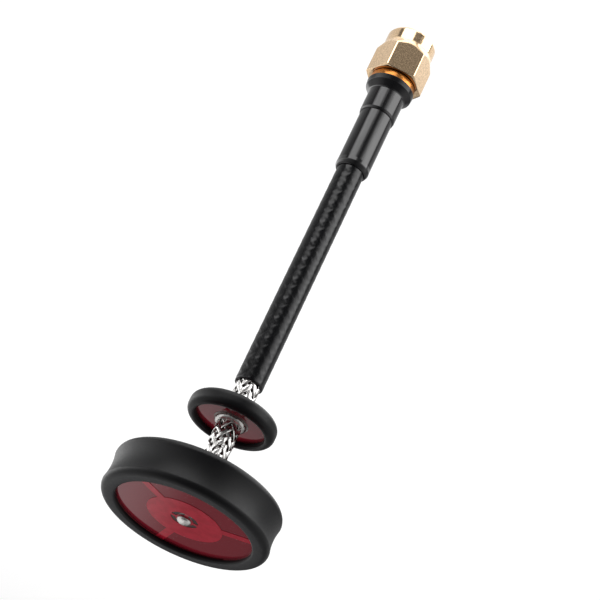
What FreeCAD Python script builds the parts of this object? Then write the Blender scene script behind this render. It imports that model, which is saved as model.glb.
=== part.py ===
import FreeCAD, Part
import math
import os
import Sketcher

# Stacked-disc circularly polarised antenna for video receivers and transmitters.
# Z runs along the cable, from the mouth of the coaxial plug at z = 0 up to the open face of the large head.
# All sizes are in millimetres.

doc = FreeCAD.newDocument("stacked_disc_antenna")
sheet = doc.addObject("Spreadsheet::Sheet", "Dimensions")


class Size:
    """A number together with the expression that gives it in the document."""

    def __init__(self, value, text):
        self.value = float(value)
        self.text = text

    def _join(self, other, sign, value, swap=False):
        a, b = (lift(other), self) if swap else (self, lift(other))
        return Size(value(a.value, b.value), f"({a.text} {sign} {b.text})")

    def __add__(self, other):
        return self._join(other, "+", lambda a, b: a + b)

    def __radd__(self, other):
        return self._join(other, "+", lambda a, b: a + b, True)

    def __sub__(self, other):
        return self._join(other, "-", lambda a, b: a - b)

    def __rsub__(self, other):
        return self._join(other, "-", lambda a, b: a - b, True)

    def __mul__(self, other):
        return self._join(other, "*", lambda a, b: a * b)

    def __rmul__(self, other):
        return self._join(other, "*", lambda a, b: a * b, True)

    def __truediv__(self, other):
        return self._join(other, "/", lambda a, b: a / b)

    def __neg__(self):
        return Size(-self.value, f"(0 - {self.text})")


def lift(x):
    return x if isinstance(x, Size) else Size(x, repr(x))


def cos_deg(angle):
    angle = lift(angle)
    return Size(math.cos(math.radians(angle.value)), f"cos({angle.text} * 1deg)")


def sin_deg(angle):
    angle = lift(angle)
    return Size(math.sin(math.radians(angle.value)), f"sin({angle.text} * 1deg)")


def side_of(long_side, short_side):
    """Third side of a right-angled triangle."""
    value = math.sqrt(long_side.value ** 2 - short_side.value ** 2)
    return Size(value, f"sqrt({long_side.text}^2 - {short_side.text}^2)")


def least(a, b):
    """The smaller of two sizes, for a rounding that its wall limits."""
    return Size(min(a.value, b.value), f"min({a.text}; {b.text})")


# Sizes that can be set by themselves, in millimetres and degrees
VALUES = {
    # Coupling nut
    "nut_across_flats": 8.0,        # hexagon, flat to flat
    "nut_skirt_length": 2.75,       # round front part
    "nut_hexagon_length": 5.75,     # from the skirt to the rear face
    "nut_skirt_inset": 0.05,        # skirt below the flats, on the radius
    "nut_crown_radius": 0.55,       # rounding of the front edge
    "nut_front_slope": 0.98,        # from the skirt to the hexagon corners, along the axis
    "nut_rear_slope": 0.16,         # rear hexagon corners, along the axis
    "nut_rear_inset": 0.03,         # rear slope below the flats, on the radius
    "thread_bore_dia": 5.89,        # pitch diameter of the 1/4-36 thread
    "thread_length": 2.8,
    "mouth_chamfer": 0.35,          # lead-in of the thread
    "relief_depth": 0.355,          # groove behind the thread, on the radius
    "nut_slack": 0.06,              # play of the nut on the body, in radius and along the axis
    "shoulder_play": 0.05,          # inner shoulder of the nut behind the face of the body

    # Snap ring between nut and body
    "snap_ring_distance": 2.0,      # front wall of its groove behind the face of the body
    "snap_ring_width": 0.5,         # along the axis
    "snap_ring_wall": 0.65,         # on the radius
    "snap_groove_depth": 0.27,      # in the body
    "snap_ring_opening": 36.0,      # angle left open

    # Connector body
    "mating_plane": 3.3,            # front of the outer contact, from the mouth
    "ferrule_dia": 4.6,             # outer contact
    "ferrule_wall": 0.25,
    "ferrule_length": 1.6,
    "body_step": 0.42,              # from the ferrule to the part that the nut turns on
    "flange_play": 0.12,            # behind the nut
    "flange_dia": 7.1,
    "flange_width": 1.85,
    "cone_length": 0.95,            # slope from the flange to the tube
    "tube_wall": 0.46,              # tube round the braid
    "tube_length": 4.0,

    # Insulator, contact and sealing ring
    "insulator_length": 5.1,
    "socket_wall": 0.175,           # round the wire
    "socket_bore_dia": 0.96,        # takes a 0.92 mm pin
    "socket_web": 0.55,             # between the bore and the wire
    "socket_recess": 0.05,          # contact behind the mating plane
    "socket_rear_gap": 0.1,         # contact short of the insulator's rear face
    "socket_slot_width": 0.2,
    "socket_slot_depth": 2.2,
    "wire_seat": 1.4,               # wire inside the contact
    "sealing_ring_width": 0.9,      # along the axis
    "sealing_ring_play": 0.2,       # inside the relief groove

    # Coaxial cable
    "wire_dia": 0.92,               # inner conductor
    "dielectric_dia": 2.98,
    "braid_wall": 0.3,
    "jacket_wall": 0.31,
    "dielectric_gap": 0.1,          # behind the insulator
    "braid_gap": 0.5,               # behind the insulator
    "jacket_gap": 0.1,              # behind the tube
    "jacket_length": 49.83,

    # Heat-shrink sleeves over the joint
    "joint_wall": 0.3,              # inner sleeve
    "joint_gap": 0.2,               # inner sleeve behind the cone
    "joint_length": 14.73,
    "joint_taper_length": 0.65,     # end drawn in on the jacket
    "joint_edge_wall": 0.12,        # left at the end of the taper
    "boot_wall": 0.2,               # outer sleeve
    "boot_setback": 1.0,            # behind the front of the flange
    "boot_collar_knee": 0.1,
    "boot_cone_knee": 0.3,
    "boot_overlap": 0.3,            # past the end of the tube

    # Small disc
    "small_disc_distance": 5.7,     # its middle plane, from the jacket's end
    "small_board_dia": 11.8,
    "small_ring_wall": 0.6,         # rubber outside the board
    "small_ring_lip": 0.7,          # rubber over the board
    "small_ring_width": 2.5,        # along the axis
    "small_ring_rounding": 0.95,    # outer corners
    "small_rim_rounding": 0.3,      # inner corners of the lips
    "small_pad_margin": 0.1,        # tinned ring round its solder

    # Large head
    "head_distance": 10.9,          # its lower lip, from the middle of the small disc
    "head_board_dia": 22.6,         # both boards
    "head_width": 6.1,              # along the axis
    "head_wall": 0.95,              # rubber outside the boards, at the lips
    "head_lip": 1.35,               # rubber over the boards
    "head_waist_depth": 0.25,       # hollow of the outside, on the radius
    "head_web": 0.8,                # rubber between the boards, on the radius
    "head_lip_rounding": 0.95,      # outer corners
    "head_rim_rounding": 0.3,       # inner corners of the lips
    "head_recess": 0.7,             # board face below the lip

    # Boards
    "board_thickness": 0.8,
    "copper_thickness": 0.05,       # copper with its red mask
    "cable_hole_slack": 0.05,       # play of the cable in the boards, on the radius
    "wire_hole_slack": 0.04,        # play of the wire in the open board, on the radius
    "patch_dia": 11.0,              # central copper disc
    "arm_width": 1.25,
    "arm_root": 0.3,                # arm inside the disc
    "arm_azimuth": 79.5,            # first arm of the open board
    "arm_stagger": 60.0,            # arms of the middle board against those of the open board
    "rim_band_gap": 0.05,           # curved ends of the arms, from the rubber between the boards
    "rim_band_width": 0.5,          # under the rubber
    "rim_band_angle": 62.0,
    "rim_band_lead": 3.0,           # band past its arm, an angle
    "feed_pad_margin": 0.2,         # pad of the wire round its solder
    "relief_slot_width": 0.7,       # four slots round the pad
    "relief_bridge_width": 0.55,    # copper left between the slots

    # Solder joints
    "wire_stick_out": 0.4,          # inner conductor above the board
    "centre_solder_dia": 2.2,       # foot of the centre joint
    "centre_solder_cover": 0.22,    # solder over the end of the wire
    "fillet_reach": 0.65,           # cable joints, along the board
    "fillet_height": 0.7,           # cable joints, along the cable
    "fillet_hollow": 0.8,           # 1 for a round hollow, less for a flatter one
    "braid_stick_out": 0.9,         # braid above the inner face of the middle board
}


class Sizes:
    """Fills the sheet, one row for each value, and gives each value as a Size of that name."""

    def __init__(self, values):
        for row, (alias, value) in enumerate(values.items(), start=1):
            sheet.set(f"A{row}", alias)
            sheet.set(f"B{row}", str(value))
            sheet.setAlias(f"B{row}", alias)
            setattr(self, alias, Size(value, f"Dimensions.{alias}"))


d = Sizes(VALUES)

# Radii and diameters that follow from them
nut_skirt_dia = d.nut_across_flats - 2 * d.nut_skirt_inset
nut_rear_land_dia = d.nut_across_flats - 2 * d.nut_rear_inset
nut_corner_radius = d.nut_across_flats / math.sqrt(3)
relief_dia = d.thread_bore_dia + 2 * d.relief_depth
insulator_dia = d.ferrule_dia - 2 * d.ferrule_wall
body_dia = d.ferrule_dia + 2 * d.body_step
snap_ring_inner_dia = body_dia - 2 * d.snap_groove_depth
snap_ring_outer_dia = snap_ring_inner_dia + 2 * d.snap_ring_wall
nut_bore_radius = body_dia / 2 + d.nut_slack
nut_groove_radius = snap_ring_outer_dia / 2 + d.nut_slack
socket_dia = d.wire_dia + 2 * d.socket_wall
sealing_ring_dia = relief_dia - 2 * d.sealing_ring_play
braid_dia = d.dielectric_dia + 2 * d.braid_wall
jacket_dia = braid_dia + 2 * d.jacket_wall
tube_dia = braid_dia + 2 * d.tube_wall
joint_dia = tube_dia + 2 * d.joint_wall
boot_radius = joint_dia / 2 + d.boot_wall
collar_radius = d.flange_dia / 2 + d.boot_wall
cable_hole_radius = braid_dia / 2 + d.cable_hole_slack
wire_hole_dia = d.wire_dia + 2 * d.wire_hole_slack
small_pad_dia = braid_dia + 2 * (d.fillet_reach + d.small_pad_margin)
head_web_dia = d.head_board_dia - 2 * d.head_web
rim_band_outer_dia = head_web_dia - 2 * d.rim_band_gap
feed_pad_dia = d.centre_solder_dia + 2 * d.feed_pad_margin
relief_slot_dia = feed_pad_dia + 2 * d.relief_slot_width

# Heights that follow from them, from the mouth of the plug upwards
thread_end = d.mouth_chamfer + d.thread_length
body_face = d.mating_plane + d.ferrule_length
relief_end = body_face + d.shoulder_play
snap_groove_front = body_face + d.snap_ring_distance
snap_groove_end = snap_groove_front + d.snap_ring_width + 2 * d.nut_slack
insulator_end = d.mating_plane + d.insulator_length
socket_end = insulator_end - d.socket_rear_gap
wire_front = socket_end - d.wire_seat
dielectric_front = insulator_end + d.dielectric_gap
braid_front = insulator_end + d.braid_gap
nut_length = d.nut_skirt_length + d.nut_hexagon_length
flange_front = nut_length + d.flange_play
flange_end = flange_front + d.flange_width
cone_end = flange_end + d.cone_length
tube_end = cone_end + d.tube_length
jacket_front = tube_end + d.jacket_gap
jacket_end = jacket_front + d.jacket_length
joint_front = cone_end + d.joint_gap
joint_end = joint_front + d.joint_length
boot_end = tube_end + d.boot_overlap
small_disc_middle = jacket_end + d.small_disc_distance
small_board_bottom = small_disc_middle - d.board_thickness / 2
small_board_top = small_disc_middle + d.board_thickness / 2
small_ring_bottom = small_disc_middle - d.small_ring_width / 2
small_ring_top = small_disc_middle + d.small_ring_width / 2
head_bottom = small_disc_middle + d.head_distance
head_top = head_bottom + d.head_width
middle_board_bottom = head_bottom + d.head_recess
middle_board_top = middle_board_bottom + d.board_thickness
board_face_top = head_top - d.head_recess
open_board_bottom = board_face_top - d.board_thickness
copper_face_top = board_face_top + d.copper_thickness
braid_end = middle_board_top + d.copper_thickness + d.braid_stick_out
wire_end = copper_face_top + d.wire_stick_out

bodies = {}


def new_body(name):
    body = doc.addObject("PartDesign::Body", name)
    body.Label = name
    bodies[name] = body
    return body


def sketch_on(body, name, role, height=None):
    """A sketch on one of the body's own origin planes, lifted along Z where a height is given."""
    sketch = body.newObject("Sketcher::SketchObject", name)
    plane = [o for o in body.Origin.OriginFeatures if o.Role == role][0]
    sketch.AttachmentSupport = [(plane, "")]
    sketch.MapMode = "FlatFace"
    if height is not None:
        sketch.setExpression("AttachmentOffset.Base.z", lift(height).text)
    doc.recompute()
    return sketch


def bind(sketch, constraint, size):
    """Adds a constraint and ties it to its expression."""
    index = sketch.addConstraint(constraint)
    sketch.setExpression(f"Constraints[{index}]", size.text)
    return index


def pin_point(sketch, geometry, end, x, y):
    """Fixes one end of a line or arc at x, y."""
    for size, kind, axis in ((x, "DistanceX", -2), (y, "DistanceY", -1)):
        if abs(size.value) < 1e-9:
            sketch.addConstraint(Sketcher.Constraint("PointOnObject", geometry, end, axis))
        else:
            bind(sketch, Sketcher.Constraint(kind, -1, 1, geometry, end, size.value), size)


def outline(sketch, points):
    """Closed outline through the points. A point is (x, y), or (x, y, radius, side) where the way to the
    next point is an arc; side +1 bulges to the right of the way, -1 to the left."""
    corners = [tuple(lift(v) for v in p[:2]) for p in points]
    shapes, starts = [], []
    for i, p in enumerate(points):
        x0, y0 = (v.value for v in corners[i])
        x1, y1 = (v.value for v in corners[(i + 1) % len(points)])
        if len(p) == 2:
            shapes.append(Part.LineSegment(FreeCAD.Vector(x0, y0, 0), FreeCAD.Vector(x1, y1, 0)))
            starts.append(1)
            continue
        radius, side = lift(p[2]).value, p[3]
        dx, dy = x1 - x0, y1 - y0
        chord = math.hypot(dx, dy)
        rise = math.sqrt(max(radius ** 2 - (chord / 2) ** 2, 0.0))
        cx = (x0 + x1) / 2 - side * rise * dy / chord
        cy = (y0 + y1) / 2 + side * rise * dx / chord
        a0, a1 = math.atan2(y0 - cy, x0 - cx), math.atan2(y1 - cy, x1 - cx)
        if side < 0:
            a0, a1 = a1, a0
        while a1 < a0:
            a1 += 2 * math.pi
        circle = Part.Circle(FreeCAD.Vector(cx, cy, 0), FreeCAD.Vector(0, 0, 1), radius)
        shapes.append(Part.ArcOfCircle(circle, a0, a1))
        starts.append(1 if side > 0 else 2)
    first = sketch.addGeometry(shapes, False)[0]
    for i, p in enumerate(points):
        before = (i - 1) % len(points)
        joint = (first + before, 3 - starts[before], first + i, starts[i])
        sketch.addConstraint(Sketcher.Constraint("Coincident", *joint))
        pin_point(sketch, first + i, starts[i], *corners[i])
        if len(p) > 2:
            bind(sketch, Sketcher.Constraint("Radius", first + i, lift(p[2]).value), lift(p[2]))
    doc.recompute()
    return sketch


def circle(sketch, dia):
    dia = lift(dia)
    index = sketch.addGeometry(Part.Circle(FreeCAD.Vector(0, 0, 0), FreeCAD.Vector(0, 0, 1), dia.value / 2), False)
    sketch.addConstraint(Sketcher.Constraint("Coincident", index, 3, -1, 1))
    bind(sketch, Sketcher.Constraint("Diameter", index, dia.value), dia)
    doc.recompute()
    return sketch


def turned(body, name, points, kind="PartDesign::Revolution", angle=360.0):
    """Turns an outline of radii and heights about the Z axis, adding or cutting."""
    sketch = outline(sketch_on(body, name + "_section", "XZ_Plane"), points)
    feature = body.newObject(kind, name)
    feature.Profile = sketch
    feature.ReferenceAxis = (sketch, ["V_Axis"])
    if isinstance(angle, Size):
        feature.setExpression("Angle", angle.text)
    else:
        feature.Angle = angle
    sketch.Visibility = False
    doc.recompute()
    return feature


def raised(body, name, sketch, length, kind="PartDesign::Pad", downward=False):
    """Pads or pockets a flat sketch along Z."""
    feature = body.newObject(kind, name)
    feature.Profile = sketch
    feature.Type = 0
    feature.setExpression("Length", lift(length).text)
    feature.Reversed = downward
    sketch.Visibility = False
    doc.recompute()
    return feature


def round_the_axis(body, name, features, count):
    """Repeats features evenly about the Z axis."""
    pattern = body.newObject("PartDesign::PolarPattern", name)
    pattern.Originals = features
    axis = [o for o in body.Origin.OriginFeatures if o.Role == "Z_Axis"][0]
    pattern.Axis = (axis, [""])
    pattern.Angle = 360.0
    pattern.Occurrences = count
    body.Tip = pattern
    doc.recompute()
    return pattern


def tube(name, inner_dia, outer_dia, low, high):
    """A plain tube, or a rod where the inner diameter is zero."""
    body = new_body(name)
    inner, outer = lift(inner_dia) / 2, lift(outer_dia) / 2
    turned(body, name + "_turned", [(inner, low), (outer, low), (outer, high), (inner, high)])
    return body


# Coupling nut: a hexagon bar turned down to a round skirt, bored and grooved
nut = new_body("coupling_nut")
half_flat = d.nut_across_flats / 2
hexagon = sketch_on(nut, "nut_hexagon", "XY_Plane", d.nut_skirt_length)
outline(hexagon, [(nut_corner_radius, 0), (nut_corner_radius / 2, half_flat), (-nut_corner_radius / 2, half_flat),
                  (-nut_corner_radius, 0), (-nut_corner_radius / 2, -half_flat), (nut_corner_radius / 2, -half_flat)])
raised(nut, "nut_bar", hexagon, nut_length - d.nut_skirt_length)
skirt_radius = nut_skirt_dia / 2
turned(nut, "nut_skirt", [
    (0, 0), (skirt_radius - d.nut_crown_radius, 0, d.nut_crown_radius, 1), (skirt_radius, d.nut_crown_radius),
    (skirt_radius, d.nut_skirt_length), (0, d.nut_skirt_length)])
turned(nut, "nut_front_slope", [
    (skirt_radius, d.nut_skirt_length), (nut_corner_radius + 0.5, d.nut_skirt_length),
    (nut_corner_radius + 0.5, d.nut_skirt_length + d.nut_front_slope),
    (nut_corner_radius, d.nut_skirt_length + d.nut_front_slope)], "PartDesign::Groove")
turned(nut, "nut_rear_slope", [
    (nut_rear_land_dia / 2, nut_length), (nut_corner_radius, nut_length - d.nut_rear_slope),
    (nut_corner_radius + 0.5, nut_length - d.nut_rear_slope), (nut_corner_radius + 0.5, nut_length)],
    "PartDesign::Groove")
turned(nut, "nut_bore", [
    (0, 0), (d.thread_bore_dia / 2 + d.mouth_chamfer, 0), (d.thread_bore_dia / 2, d.mouth_chamfer),
    (d.thread_bore_dia / 2, thread_end), (relief_dia / 2, thread_end), (relief_dia / 2, relief_end),
    (nut_bore_radius, relief_end), (nut_bore_radius, snap_groove_front - d.nut_slack),
    (nut_groove_radius, snap_groove_front - d.nut_slack), (nut_groove_radius, snap_groove_end + d.nut_slack),
    (nut_bore_radius, snap_groove_end + d.nut_slack), (nut_bore_radius, nut_length), (0, nut_length)],
    "PartDesign::Groove")

# Snap ring: an open ring half in the body, half in the nut
snap = new_body("nut_snap_ring")
snap_low = snap_groove_front + d.nut_slack
turned(snap, "snap_ring_turned", [
    (snap_ring_inner_dia / 2, snap_low), (snap_ring_outer_dia / 2, snap_low),
    (snap_ring_outer_dia / 2, snap_low + d.snap_ring_width), (snap_ring_inner_dia / 2, snap_low + d.snap_ring_width)],
    angle=360 - d.snap_ring_opening)

# Connector body: outer contact, bearing for the nut, shoulder and cable tube in one turned piece
shell = new_body("connector_body")
turned(shell, "shell_turned", [
    (insulator_dia / 2, d.mating_plane), (d.ferrule_dia / 2, d.mating_plane), (d.ferrule_dia / 2, body_face),
    (body_dia / 2, body_face), (body_dia / 2, snap_groove_front),
    (snap_ring_inner_dia / 2, snap_groove_front), (snap_ring_inner_dia / 2, snap_groove_end),
    (body_dia / 2, snap_groove_end), (body_dia / 2, flange_front), (d.flange_dia / 2, flange_front),
    (d.flange_dia / 2, flange_end), (tube_dia / 2, cone_end),
    (tube_dia / 2, tube_end), (braid_dia / 2, tube_end), (braid_dia / 2, insulator_end),
    (insulator_dia / 2, insulator_end)])

# Insulator and socket contact
insulator = new_body("contact_insulator")
turned(insulator, "insulator_turned", [
    (socket_dia / 2, d.mating_plane), (insulator_dia / 2, d.mating_plane),
    (insulator_dia / 2, insulator_end), (socket_dia / 2, insulator_end)])

contact = new_body("socket_contact")
contact_front = d.mating_plane + d.socket_recess
turned(contact, "contact_turned", [
    (d.socket_bore_dia / 2, contact_front), (socket_dia / 2, contact_front), (socket_dia / 2, socket_end),
    (d.wire_dia / 2, socket_end), (d.wire_dia / 2, wire_front), (0, wire_front),
    (0, wire_front - d.socket_web), (d.socket_bore_dia / 2, wire_front - d.socket_web)])
slot = sketch_on(contact, "contact_slot", "XY_Plane", contact_front)
slot_half, slot_reach = d.socket_slot_width / 2, socket_dia
outline(slot, [(-slot_reach, -slot_half), (slot_reach, -slot_half), (slot_reach, slot_half), (-slot_reach, slot_half)])
raised(contact, "contact_slot_cut", slot, d.socket_slot_depth, "PartDesign::Pocket", True)
cross = sketch_on(contact, "contact_cross_slot", "XY_Plane", contact_front)
outline(cross, [(-slot_half, -slot_reach), (slot_half, -slot_reach), (slot_half, slot_reach), (-slot_half, slot_reach)])
raised(contact, "contact_cross_cut", cross, d.socket_slot_depth, "PartDesign::Pocket", True)

# Sealing ring on the outer contact
tube("sealing_ring", d.ferrule_dia, sealing_ring_dia, body_face - d.sealing_ring_width, body_face)

# Coaxial cable
tube("inner_conductor", 0, d.wire_dia, wire_front, wire_end)
tube("cable_dielectric", d.wire_dia, d.dielectric_dia, dielectric_front, open_board_bottom)
tube("cable_braid", d.dielectric_dia, braid_dia, braid_front, braid_end)
tube("cable_jacket", braid_dia, jacket_dia, jacket_front, jacket_end)

# Heat-shrink sleeves
joint = new_body("joint_sleeve")
joint_outer = joint_dia / 2
turned(joint, "joint_sleeve_turned", [
    (tube_dia / 2, joint_front), (joint_outer, joint_front), (joint_outer, joint_end - d.joint_taper_length),
    (jacket_dia / 2 + d.joint_edge_wall, joint_end), (jacket_dia / 2, joint_end),
    (jacket_dia / 2, tube_end), (tube_dia / 2, tube_end)])

boot = new_body("boot_sleeve")
boot_front = flange_front + d.boot_setback
turned(boot, "boot_turned", [
    (d.flange_dia / 2, boot_front), (collar_radius, boot_front), (collar_radius, flange_end + d.boot_collar_knee),
    (boot_radius, cone_end + d.boot_cone_knee), (boot_radius, boot_end), (joint_outer, boot_end),
    (joint_outer, joint_front), (tube_dia / 2, joint_front), (tube_dia / 2, cone_end),
    (d.flange_dia / 2, flange_end)])


def board(name, dia, hole_dia, low):
    """A round board with a hole in its middle."""
    body = new_body(name)
    sketch = circle(circle(sketch_on(body, name + "_outline", "XY_Plane", low), dia), hole_dia)
    raised(body, name + "_pad", sketch, d.board_thickness)
    return body


def radiator(name, hole_dia, low, turn):
    """Copper of a large board: a disc with three arms that end in curved bands along the rim."""
    body = new_body(name)
    disc = circle(circle(sketch_on(body, name + "_disc", "XY_Plane", low), d.patch_dia), hole_dia)
    raised(body, name + "_disc_pad", disc, d.copper_thickness)
    reach = rim_band_outer_dia / 2 - d.rim_band_width / 2
    start = d.patch_dia / 2 - d.arm_root
    half = d.arm_width / 2
    c, s = cos_deg(turn), sin_deg(turn)
    arm = sketch_on(body, name + "_arm", "XY_Plane", low)
    outline(arm, [(start * c + half * s, start * s - half * c), (reach * c + half * s, reach * s - half * c),
                  (reach * c - half * s, reach * s + half * c), (start * c - half * s, start * s + half * c)])
    arm_pad = raised(body, name + "_arm_pad", arm, d.copper_thickness)
    outer, inner = rim_band_outer_dia / 2, rim_band_outer_dia / 2 - d.rim_band_width
    a0 = turn + d.rim_band_lead
    a1 = turn - d.rim_band_angle
    band = sketch_on(body, name + "_band", "XY_Plane", low)
    outline(band, [(outer * cos_deg(a1), outer * sin_deg(a1), outer, 1), (outer * cos_deg(a0), outer * sin_deg(a0)),
                   (inner * cos_deg(a0), inner * sin_deg(a0), inner, -1), (inner * cos_deg(a1), inner * sin_deg(a1))])
    band_pad = raised(body, name + "_band_pad", band, d.copper_thickness)
    round_the_axis(body, name + "_arms", [arm_pad, band_pad], 3)
    return body


# Small disc
board("small_board", d.small_board_dia, cable_hole_radius * 2, small_board_bottom)
tube("small_board_pad", cable_hole_radius * 2, small_pad_dia, small_board_top, small_board_top + d.copper_thickness)

# Large boards and their copper
board("middle_board", d.head_board_dia, cable_hole_radius * 2, middle_board_bottom)
board("open_board", d.head_board_dia, wire_hole_dia, open_board_bottom)
radiator("middle_board_copper", cable_hole_radius * 2, middle_board_top, d.arm_azimuth + d.arm_stagger)
open_copper = radiator("open_board_copper", wire_hole_dia, board_face_top, d.arm_azimuth)
slot_inner, slot_outer = feed_pad_dia / 2, relief_slot_dia / 2
ring_slot = sketch_on(open_copper, "feed_slot", "XY_Plane", copper_face_top)
side_a = d.relief_bridge_width / 2
outer_side, inner_side = side_of(slot_outer, side_a), side_of(slot_inner, side_a)
outline(ring_slot, [(outer_side, side_a, slot_outer, 1), (side_a, outer_side),
                    (side_a, inner_side, slot_inner, -1), (inner_side, side_a)])
slot_cut = raised(open_copper, "feed_slot_cut", ring_slot, d.copper_thickness, "PartDesign::Pocket")
round_the_axis(open_copper, "feed_slots", [slot_cut], 4)

# Rubber rings: two lips, a groove for each board and a rounded outside
small_ring = new_body("small_ring")
seat_r = d.small_board_dia / 2
ring_r, lip_r = seat_r + d.small_ring_wall, seat_r - d.small_ring_lip
rim = d.small_rim_rounding
rounding = least(d.small_ring_rounding, 0.95 * least(ring_r - lip_r - rim, d.small_ring_width / 2))
turned(small_ring, "small_ring_turned", [
    (lip_r + rim, small_ring_bottom), (ring_r - rounding, small_ring_bottom, rounding, 1),
    (ring_r, small_ring_bottom + rounding), (ring_r, small_ring_top - rounding, rounding, 1),
    (ring_r - rounding, small_ring_top), (lip_r + rim, small_ring_top, rim, 1), (lip_r, small_ring_top - rim),
    (lip_r, small_board_top), (seat_r, small_board_top), (seat_r, small_board_bottom),
    (lip_r, small_board_bottom), (lip_r, small_ring_bottom + rim, rim, 1)])

head_ring = new_body("head_ring")
seat_r, web_r = d.head_board_dia / 2, head_web_dia / 2
ring_r, lip_r = seat_r + d.head_wall, seat_r - d.head_lip
rounding, rim = d.head_lip_rounding, d.head_rim_rounding
half_span = d.head_width / 2 - rounding
waist_radius = (half_span * half_span + d.head_waist_depth * d.head_waist_depth) / (2 * d.head_waist_depth)
turned(head_ring, "head_ring_turned", [
    (lip_r + rim, head_bottom), (ring_r - rounding, head_bottom, rounding, 1),
    (ring_r, head_bottom + rounding, waist_radius, -1), (ring_r, head_top - rounding, rounding, 1),
    (ring_r - rounding, head_top), (lip_r + rim, head_top, rim, 1), (lip_r, head_top - rim),
    (lip_r, copper_face_top), (seat_r, copper_face_top), (seat_r, open_board_bottom), (web_r, open_board_bottom),
    (web_r, middle_board_top), (seat_r, middle_board_top), (seat_r, middle_board_bottom),
    (lip_r, middle_board_bottom), (lip_r, head_bottom + rim, rim, 1)])


def cable_fillet(name, low):
    """Hollow-sided ring of solder between the braid and a board."""
    body = new_body(name)
    inner = braid_dia / 2
    arc = (d.fillet_reach * d.fillet_reach + d.fillet_height * d.fillet_height) / (2 * d.fillet_hollow * d.fillet_height)
    turned(body, name + "_turned", [
        (inner, low), (inner + d.fillet_reach, low, arc, -1), (inner, low + d.fillet_height)])
    return body


# Solder joints
cable_fillet("small_board_solder", small_board_top + d.copper_thickness)
cable_fillet("middle_board_solder", middle_board_top + d.copper_thickness)

solder = new_body("centre_solder")
foot, height = d.centre_solder_dia / 2, d.wire_stick_out + d.centre_solder_cover
dome = (foot * foot + height * height) / (2 * height)
turned(solder, "centre_solder_turned", [
    (d.wire_dia / 2, copper_face_top), (foot, copper_face_top, dome, 1), (0, copper_face_top + height),
    (0, wire_end), (d.wire_dia / 2, wire_end)])

doc.recompute()

for item in doc.Objects:
    problems = [word for word in item.State if word in ("Invalid", "Error")]
    if problems:
        raise RuntimeError(f"{item.Name}: {problems}")
os.makedirs("parts", exist_ok=True)
for name, body in bodies.items():
    shape = body.Shape
    if not shape.isValid() or len(shape.Solids) != 1:
        raise RuntimeError(f"{name}: valid {shape.isValid()}, solids {len(shape.Solids)}")
    shape.exportStep(f"parts/{name}.step")
    box = shape.BoundBox
    print(f"{name:22s} volume {shape.Volume:9.3f}  z {box.ZMin:7.2f} {box.ZMax:7.2f}  x {box.XMin:7.2f} {box.XMax:7.2f}")
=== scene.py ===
import math

import bmesh
import bpy
from mathutils import Matrix, Vector


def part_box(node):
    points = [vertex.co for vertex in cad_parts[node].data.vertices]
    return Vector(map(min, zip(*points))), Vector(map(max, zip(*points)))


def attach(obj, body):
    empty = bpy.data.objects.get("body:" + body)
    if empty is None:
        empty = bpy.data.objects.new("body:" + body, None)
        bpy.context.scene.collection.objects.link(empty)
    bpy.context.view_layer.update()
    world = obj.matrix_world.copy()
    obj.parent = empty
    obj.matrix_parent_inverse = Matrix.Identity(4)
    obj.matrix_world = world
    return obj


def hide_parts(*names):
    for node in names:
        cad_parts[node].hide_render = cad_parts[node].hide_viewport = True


bl_info = {
    "name": "Stacked-disc antenna",
    "version": (1, 0, 0),
    "blender": (4, 2, 0),
    "location": "3D View > Sidebar > Antenna",
    "description": "Dresses the packed model of a stacked-disc antenna with a threaded plug",
    "category": "Object",
}

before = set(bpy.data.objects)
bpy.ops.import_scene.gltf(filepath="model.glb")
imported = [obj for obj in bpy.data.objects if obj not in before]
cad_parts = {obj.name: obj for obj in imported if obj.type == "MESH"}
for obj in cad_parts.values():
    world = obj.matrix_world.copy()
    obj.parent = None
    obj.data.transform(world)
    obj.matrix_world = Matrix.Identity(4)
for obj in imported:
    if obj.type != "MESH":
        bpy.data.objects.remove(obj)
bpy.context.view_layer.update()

MM = 0.001
TURN = 2 * math.pi
WHITE = (1.0, 1.0, 1.0, 1.0)
BRAID_RADIUS = 1.79  # millimetres; the jacket and the solder joints lie on it


# Helpers


def linear(hex_colour):
    """An sRGB hex colour such as "#30A0C0" as linear values with alpha."""
    parts = [int(hex_colour[i:i + 2], 16) / 255 for i in (1, 3, 5)]
    light = [c / 12.92 if c <= 0.04045 else ((c + 0.055) / 1.055) ** 2.4 for c in parts]
    return (*light, 1.0)


def add(tree, kind, inputs=None, **settings):
    """Adds a node, with its settings and with its inputs linked or set."""
    node = tree.nodes.new(kind)
    for key, value in settings.items():
        setattr(node, key, value)
    for key, value in (inputs or {}).items():
        if isinstance(value, bpy.types.NodeSocket):
            tree.links.new(value, node.inputs[key])
        else:
            node.inputs[key].default_value = value
    return node


def span(node):
    """Lowest and highest corner of a CAD node, in millimetres."""
    low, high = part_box(node)
    return low / MM, high / MM


def arc(centre, radius, start, end, count):
    """Points on an arc across radius and height. Angles in degrees, 0 outwards and 90 towards the head."""
    angles = [math.radians(start + (end - start) * i / count) for i in range(count + 1)]
    return [(centre[0] + radius * math.cos(a), centre[1] + radius * math.sin(a)) for a in angles]


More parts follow.
